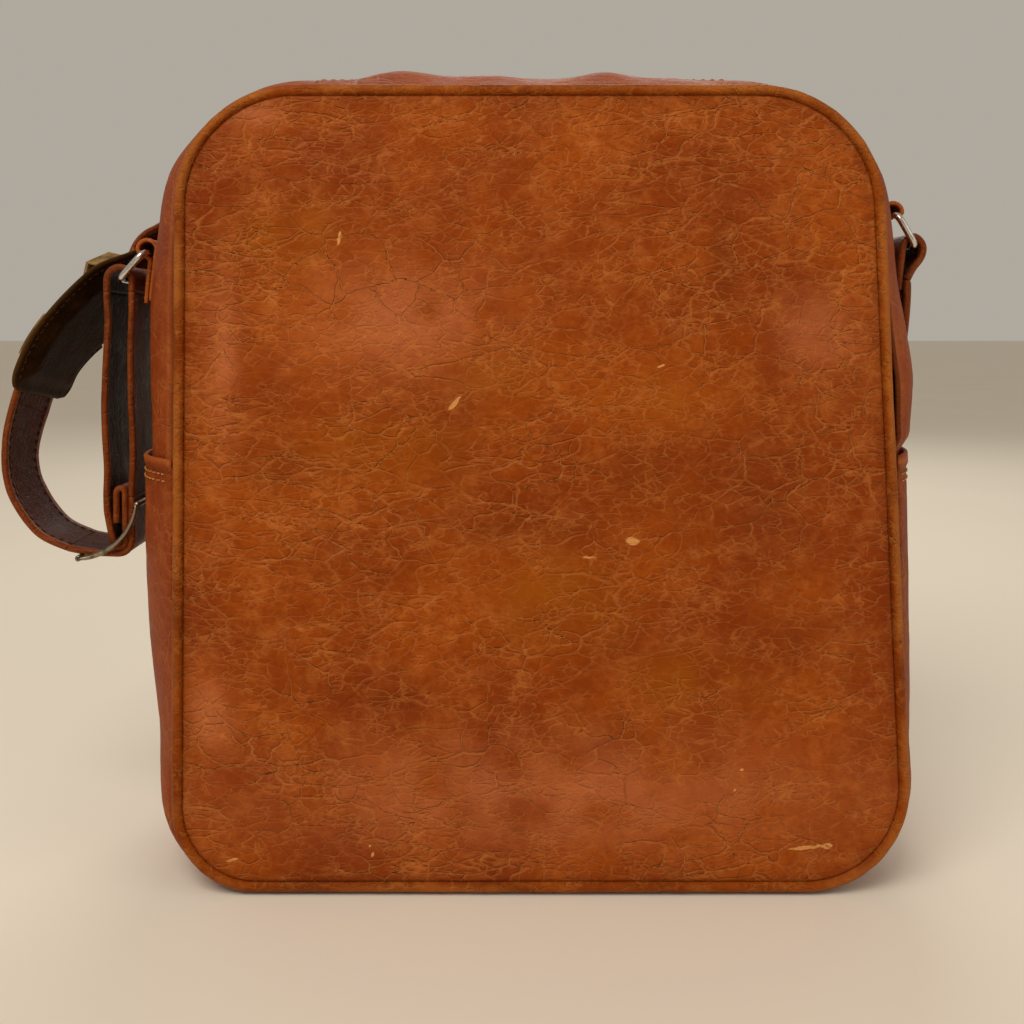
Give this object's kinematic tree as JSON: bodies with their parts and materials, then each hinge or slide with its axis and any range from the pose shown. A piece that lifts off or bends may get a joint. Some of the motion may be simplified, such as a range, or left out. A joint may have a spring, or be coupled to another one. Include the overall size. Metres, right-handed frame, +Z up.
{
  "type": "leather shoulder bag",
  "caption": "Boxy piped leather shoulder bag with zipped top, side slip pockets, zipped front pocket and an adjustable padded strap on metal rings.",
  "frame": {"origin": "on the floor plane under the bag, midway between its two rows of piping", "axes": "-Y plain back panel, +Y front with its pocket, +X the bag's right seen from the back panel, +Z up"},
  "size_m": [0.398, 0.138, 0.3345],
  "materials": {
    "panel_leather": "glazed full-grain tan leather, mottled and creased",
    "gusset_leather": "softer tan leather, less glossy",
    "piping_leather": "tan leather, rubbed pale along its crest",
    "piping_cord": "twisted cotton cord",
    "stiffener": "pressed fibre board",
    "lining_cloth": "plain woven cotton",
    "zip_tape": "woven cotton tape",
    "zip_metal": "dulled brass",
    "ring_metal": "worn nickel plate",
    "buckle_metal": "darkened plated steel",
    "strap_leather": "two-layer strap leather, tan outside and dark glossy red-brown inside",
    "pad_leather": "dark olive-brown leather with stitched edges",
    "keeper_leather": "undyed suede"
  },
  "bodies": {
    "bag": {"back_panel": "panel_leather", "front_panel": "panel_leather", "back_piping": "piping_leather", "front_piping": "piping_leather", "back_piping_cord": "piping_cord", "front_piping_cord": "piping_cord", "gusset_left": "gusset_leather", "gusset_right": "gusset_leather", "base_panel": "gusset_leather", "back_board": "stiffener", "front_board": "stiffener", "base_board": "stiffener", "lining": "lining_cloth", "side_pocket_left": "gusset_leather", "side_pocket_right": "gusset_leather", "top_end_left": "gusset_leather", "top_end_right": "gusset_leather", "zip_tape_ends": "zip_tape", "zip_teeth_ends": "zip_metal", "front_pocket_panel": "panel_leather", "front_pocket_tape": "zip_tape", "front_pocket_teeth": "zip_metal", "tab_left": "gusset_leather", "tab_right": "gusset_leather", "strap_end_right": "strap_leather", "strap_front_run": "strap_leather", "strap_pad_run": "strap_leather", "strap_loop": "strap_leather", "strap_inner_run": "strap_leather", "strap_arch": "strap_leather", "strap_outer_run": "strap_leather", "shoulder_pad": "pad_leather", "pad_keeper_upper": "keeper_leather", "pad_keeper_lower": "keeper_leather"},
    "mouth_back": {"top_band_back": "gusset_leather", "zip_tape_back": "zip_tape", "zip_teeth_back": "zip_metal"},
    "mouth_front": {"top_band_front": "gusset_leather", "zip_tape_front": "zip_tape", "zip_teeth_front": "zip_metal"},
    "zip_slider": {"zip_slider": "zip_metal"},
    "zip_pull": {"zip_pull": "zip_metal"},
    "front_pocket_slider": {"front_pocket_slider": "zip_metal"},
    "front_pocket_pull": {"front_pocket_pull": "zip_metal"},
    "ring_left": {"ring_left": "ring_metal"},
    "ring_right": {"ring_right": "ring_metal"},
    "buckle": {"buckle_frame": "buckle_metal", "strap_end_fold": "strap_leather", "strap_turn": "strap_leather"}
  },
  "joints": [
    {"name": "mouth_back_hinge", "type": "hinge", "parent": "bag", "child": "mouth_back", "pos_m": [0, -0.052, 0.3185], "axis": [1, 0, 0], "range_deg": [0, 45]},
    {"name": "mouth_front_hinge", "type": "hinge", "parent": "bag", "child": "mouth_front", "pos_m": [0, 0.052, 0.3185], "axis": [1, 0, 0], "range_deg": [-45, 0]},
    {"name": "zip_travel", "type": "slide", "parent": "bag", "child": "zip_slider", "axis": [1, 0, 0], "range_m": [0, 0.15616]},
    {"name": "zip_pull_flip", "type": "hinge", "parent": "zip_slider", "child": "zip_pull", "pos_m": [-0.08333, 0, 0.3331], "axis": [0, 1, 0], "range_deg": [0, 170]},
    {"name": "front_zip_travel", "type": "slide", "parent": "bag", "child": "front_pocket_slider", "axis": [-1, 0, 0], "range_m": [0, 0.17]},
    {"name": "front_pull_flip", "type": "hinge", "parent": "front_pocket_slider", "child": "front_pocket_pull", "pos_m": [0.085, 0.0657, 0.204], "axis": [0, 0, 1], "range_deg": [-170, 0]},
    {"name": "ring_left_swing", "type": "hinge", "parent": "bag", "child": "ring_left", "pos_m": [-0.1669, 0, 0.257], "axis": [0, 1, 0], "range_deg": [-5, 10]},
    {"name": "ring_right_swing", "type": "hinge", "parent": "bag", "child": "ring_right", "pos_m": [0.155, 0, 0.273], "axis": [0, 1, 0], "range_deg": [-3.5, 4]},
    {"name": "buckle_slide", "type": "slide", "parent": "bag", "child": "buckle", "axis": [0, 0, 1], "range_m": [0, 0.035], "deforming": ["strap_outer_run", "strap_inner_run", "strap_loop"]}
  ],
  "couplings": [
    {"joint": "mouth_front_hinge", "follows": "mouth_back_hinge", "ratio": -1}
  ]
}
